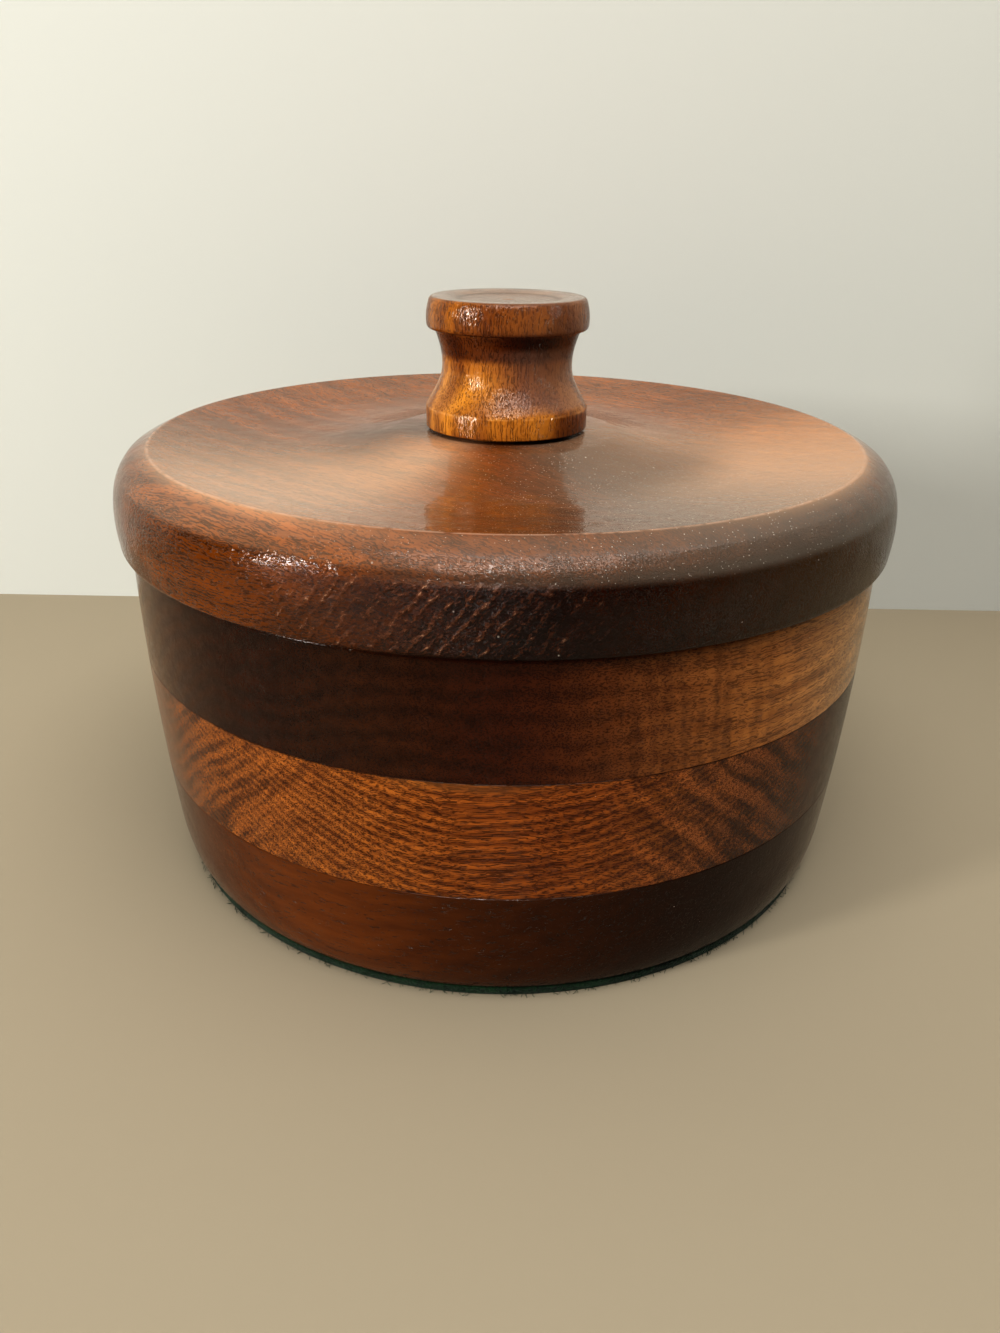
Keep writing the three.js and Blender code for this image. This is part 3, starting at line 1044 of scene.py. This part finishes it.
def bottom_board_wood():
    return varnished_wood("bottom_board_wood", BOARD | {
        "turn": -20, "pith": (0, 30, -50), "ring_width": 4.0, "rings": 0.25,
        "light": rgb(116, 64, 22), "dark": rgb(90, 46, 16),
        "pore": rgb(48, 24, 10), "pores": 0.4, "pore_length": 9.0, "pore_width": 0.5, "pore_depth": 0.5,
        "end": rgb(150, 124, 110), "end_depth": 0.6,
        "patches": [
            darken(azimuth=34, width=60, depth=0.97, tint=rgb(106, 88, 76)),
            darken(azimuth=0, width=36, depth=0.5, tint=rgb(130, 110, 100)),
            darken(azimuth=-66, width=50, depth=0.9, tint=rgb(160, 142, 108)),
            # Painted reflection haze on the far left.
            lighten(azimuth=-74, width=34, depth=0.9, tint=rgb(56, 46, 38)),
        ],
        "dust": [STRAY_DUST],
    })


def knob_wood():
    flare = SEAT + KNOB_GAP + KNOB_BAND
    disc = SEAT + DISC_UNDERSIDE
    return varnished_wood("knob_wood", BOARD | {
        "turn": 0, "pith": (0, -14, 70), "upright": True, "drift": 5.0,
        "ring_width": 8.0, "rings": 0.6, "fibres": 0.3,
        "light": rgb(204, 136, 52), "dark": rgb(128, 70, 26),
        "pore": rgb(78, 36, 12), "pores": 0.8, "pore_depth": 0.55,
        "end": rgb(150, 130, 120), "end_depth": 0.4,
        "peel": 0.9, "waves": 0.8, "sunk": 1.3, "calm": 0.6, "specular": 0.42, "gloss": (0.1, 0.22),
        "patches": [
            # Painted shade under the disc, in the cove, reaching further down at the front.
            darken(**ALL_ROUND, low=SEAT + 19, high=disc, depth=0.9, tint=rgb(126, 92, 70)),
            darken(azimuth=20, width=60, low=SEAT + 9, high=SEAT + 26, depth=0.6, tint=rgb(150, 104, 80)),
            # Painted sheen with dust on the right of the waist.
            sheen_and_dust(azimuth=45, width=80, low=flare + 1, high=SEAT + 22, depth=0.6, tint=rgb(146, 114, 98)),
            darken(azimuth=66, width=56, low=SEAT - 5, high=flare, depth=0.9, tint=rgb(150, 112, 92)),
            lighten(azimuth=-34, width=50, low=SEAT + 2, high=SEAT + 16, depth=0.8, tint=rgb(78, 56, 16)),
            # Painted sheen with dust on the right of the disc.
            sheen_and_dust(azimuth=60, width=90, low=disc, depth=0.6, tint=rgb(150, 112, 92)),
            darken(**ALL_ROUND, low=disc, depth=0.9, tint=rgb(206, 196, 190)),
            # Painted reflection of the pale wall on the top.
            sheen_and_dust(**ALL_ROUND, on_top=True, depth=0.8, tint=rgb(150, 136, 124)),
        ],
        "lines": [
            {"radius": KNOB_BASE_RADIUS, "height": flare, "reach": 0.5, "wear": 0.35,
             "depth": 0.35, "tint": rgb(216, 160, 96)},
            {"radius": KNOB_DISH_RADIUS + 2, "height": KNOB_TOP - 0.5, "reach": 1.1, "wear": 0.2,
             "depth": 0.7, "tint": rgb(74, 52, 38)},
        ],
    })


def felt_cloth():
    """Dark green felt: tufts, and patches where it is worn paler."""
    tuft_scale = 1.6
    patch_scale = 0.12
    tuft_share = 0.7
    fresh_level = 0.35
    worn_level = 0.7
    tuft_depth = 0.5

    material, b, shader = new_material("green_felt")
    mm = b.scale(b.add("TexCoord").outputs["Object"], 1 / MM)
    tufts = b.noise(mm, tuft_scale, detail=4.0, roughness=0.7)
    patches = b.noise(mm, patch_scale)
    wear = b.math("ADD", b.math("MULTIPLY", tufts, tuft_share), b.math("MULTIPLY", patches, 1 - tuft_share))
    shade = b.ease(wear, fresh_level, worn_level)
    b.feed(shader.inputs["Base Color"], b.mix(shade, rgb(10, 24, 14), rgb(30, 66, 38)))
    b.feed(shader.inputs["Roughness"], b.ease(tufts, NOISE_LOW, NOISE_HIGH, 0.85, 1.0))
    bump = b.add("Bump", {"Height": tufts, "Distance": tuft_depth * MM}).outputs[0]
    b.feed(shader.inputs["Normal"], bump)
    shader.inputs["Sheen Weight"].default_value = 0.2
    shader.inputs["Sheen Roughness"].default_value = 0.5
    shader.inputs["Specular IOR Level"].default_value = 0.1
    return material


def screw_steel():
    """Zinc-plated steel, scuffed along the shank."""
    scuff_scale = (3.0, 3.0, 0.8)
    scuff_depth = 0.03

    material, b, shader = new_material("screw_steel")
    mm = b.scale(b.add("TexCoord").outputs["Object"], 1 / MM)
    scuffs = b.noise(b.vector("MULTIPLY", mm, scuff_scale), 1.0, detail=4.0, roughness=0.65)
    b.feed(shader.inputs["Base Color"], b.mix(scuffs, rgb(150, 148, 140), rgb(205, 203, 196)))
    b.feed(shader.inputs["Roughness"], b.ease(scuffs, NOISE_LOW, NOISE_HIGH, 0.25, 0.5))
    bump = b.add("Bump", {"Height": scuffs, "Distance": scuff_depth * MM}).outputs[0]
    b.feed(shader.inputs["Normal"], bump)
    shader.inputs["Metallic"].default_value = 1.0
    return material


# Pieces

place(turn("bowl_bottom_board", bottom_board_outline(), BOWL_STEPS), "bowl", "bottom_board",
      bottom_board_wood())
place(turn("bowl_middle_ring", middle_ring_outline(), BOWL_STEPS), "bowl", "middle_ring",
      middle_ring_wood())
place(turn("bowl_top_ring", top_ring_outline(), BOWL_STEPS), "bowl", "top_ring", top_ring_wood())
place(turn("lid_board", lid_outline(), BOWL_STEPS), "lid", "lid_plate", lid_wood())
place(turn("lid_knob", knob_outline(), KNOB_STEPS), "lid", "knob", knob_wood())
place(slotted_screw(), "lid", "knob_screw", screw_steel())

felt = turn("felt_disc", felt_outline(), BOWL_STEPS)
green_felt = felt_cloth()
place(felt, "bowl", "felt_pad", green_felt)
fuzz = felt_fuzz()
fuzz.data.materials.clear()
fuzz.data.materials.append(green_felt)
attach(fuzz, "bowl")


# Stage, light and camera

FLOOR_SIZE = 6.0
WALL_SIZE = 3.0
WALL_Y = 0.1615
ROOM_STRENGTH = 0.04
WALL_STRENGTH = 0.6
WALL_PAINT = rgb(200, 201, 195)
FLOOR_PAINT = rgb(146, 136, 118)
DAYLIGHT = (1.0, 0.99, 0.95)
LAMPLIGHT = (1.0, 0.99, 0.97)
ROOM_LIGHT = (1.0, 0.96, 0.9, 1.0)
AIM = Vector((0, 0, 0.08))

# The camera fitted to the photo, in metres, radians and pixels, with its sensor in millimetres
CAMERA_PLACE = Vector((0.00104, -0.28353, 0.1719))
CAMERA_PITCH = 0.4282
CAMERA_YAW = -0.006
CAMERA_ROLL = 0.015
CAMERA_SENSOR = 36
CAMERA_CLIP = 0.01
FOCAL_PIXELS = 1073.79
PHOTO_HEIGHT = 1333


def plain_material(name, colour, see_through_back=False):
    material, b, shader = new_material(name)
    shader.inputs["Base Color"].default_value = colour
    shader.inputs["Roughness"].default_value = 0.75
    shader.inputs["Specular IOR Level"].default_value = 0.2
    if see_through_back:
        clear = b.add("BsdfTransparent")
        back = b.add("NewGeometry").outputs["Backfacing"]
        both = b.add("MixShader", {0: back, 1: shader.outputs[0], 2: clear.outputs[0]})
        b.feed(material.node_tree.nodes["Material Output"].inputs["Surface"], both.outputs[0])
    return material


def plain_plane(name, size, location, tilt, material):
    start_afresh()
    bpy.ops.mesh.primitive_plane_add(size=size, location=location, rotation=(tilt, 0, 0))
    plane = bpy.context.object
    plane.name = name
    plane.data.materials.append(material)


def soft_light(name, azimuth, elevation, distance, width, height, power, colour):
    """A rectangular soft box aimed at the middle of the bowl from an azimuth and elevation in degrees."""
    turn_by, rise = math.radians(azimuth), math.radians(elevation)
    away = Vector((math.sin(turn_by) * math.cos(rise), -math.cos(turn_by) * math.cos(rise), math.sin(rise)))
    light = bpy.data.lights.new(name, "AREA")
    light.shape = "RECTANGLE"
    light.size = width
    light.size_y = height
    light.energy = power
    light.color = colour
    lamp = bpy.data.objects.new(name, light)
    lamp.location = AIM + away * distance
    lamp.rotation_euler = away.to_track_quat("Z", "Y").to_euler()
    bpy.context.scene.collection.objects.link(lamp)


def dim_room():
    """A dim room all round, which the camera sees as pale as the wall."""
    world = bpy.data.worlds.new("dim_room")
    bpy.context.scene.world = world
    world.use_nodes = True
    dim = world.node_tree.nodes["Background"]
    dim.inputs["Color"].default_value = ROOM_LIGHT
    dim.inputs["Strength"].default_value = ROOM_STRENGTH
    sky = Bench(world.node_tree)
    pale = sky.add("Background", {"Color": WALL_PAINT, "Strength": WALL_STRENGTH})
    seen = sky.add("LightPath").outputs["Is Camera Ray"]
    both = sky.add("MixShader", {0: seen, 1: dim.outputs[0], 2: pale.outputs[0]})
    sky.feed(world.node_tree.nodes["World Output"].inputs["Surface"], both.outputs[0])


def photo_camera():
    """The camera at the photo's place, turned by its yaw, pitch and roll."""
    view = bpy.data.cameras.new("photo_camera")
    view.sensor_width = CAMERA_SENSOR
    view.lens = CAMERA_SENSOR * FOCAL_PIXELS / PHOTO_HEIGHT
    view.clip_start = CAMERA_CLIP
    camera = bpy.data.objects.new("photo_camera", view)
    level = Vector((math.cos(CAMERA_YAW), -math.sin(CAMERA_YAW), 0))
    ahead = Vector((
        math.sin(CAMERA_YAW) * math.cos(CAMERA_PITCH),
        math.cos(CAMERA_YAW) * math.cos(CAMERA_PITCH),
        -math.sin(CAMERA_PITCH),
    ))
    above = level.cross(ahead)
    right = level * math.cos(CAMERA_ROLL) + above * math.sin(CAMERA_ROLL)
    upward = above * math.cos(CAMERA_ROLL) - level * math.sin(CAMERA_ROLL)
    turned = Matrix((right, upward, -ahead)).transposed().to_4x4()
    camera.matrix_world = Matrix.Translation(CAMERA_PLACE) @ turned
    bpy.context.scene.collection.objects.link(camera)
    bpy.context.scene.camera = camera


plain_plane("floor", FLOOR_SIZE, (0, 0, 0), 0, plain_material("floor_plain", FLOOR_PAINT))
plain_plane("backdrop", WALL_SIZE, (0, WALL_Y, WALL_SIZE / 2), math.radians(90),
            plain_material("backdrop_plain", WALL_PAINT, see_through_back=True))

soft_light("window", azimuth=-57, elevation=16, distance=1.3, width=0.16, height=0.34,
           power=9.5, colour=DAYLIGHT)
soft_light("room_lamp", azimuth=2, elevation=62, distance=1.5, width=1.5, height=1.1,
           power=12, colour=LAMPLIGHT)
soft_light("front_strip", azimuth=-6, elevation=47, distance=1.4, width=0.5, height=0.03,
           power=2.8, colour=LAMPLIGHT)
soft_light("ceiling", azimuth=60, elevation=78, distance=1.5, width=1.8, height=1.4,
           power=16, colour=LAMPLIGHT)
dim_room()
photo_camera()

bpy.context.scene.view_settings.view_transform = "Standard"
bpy.context.scene.view_settings.look = "High Contrast"
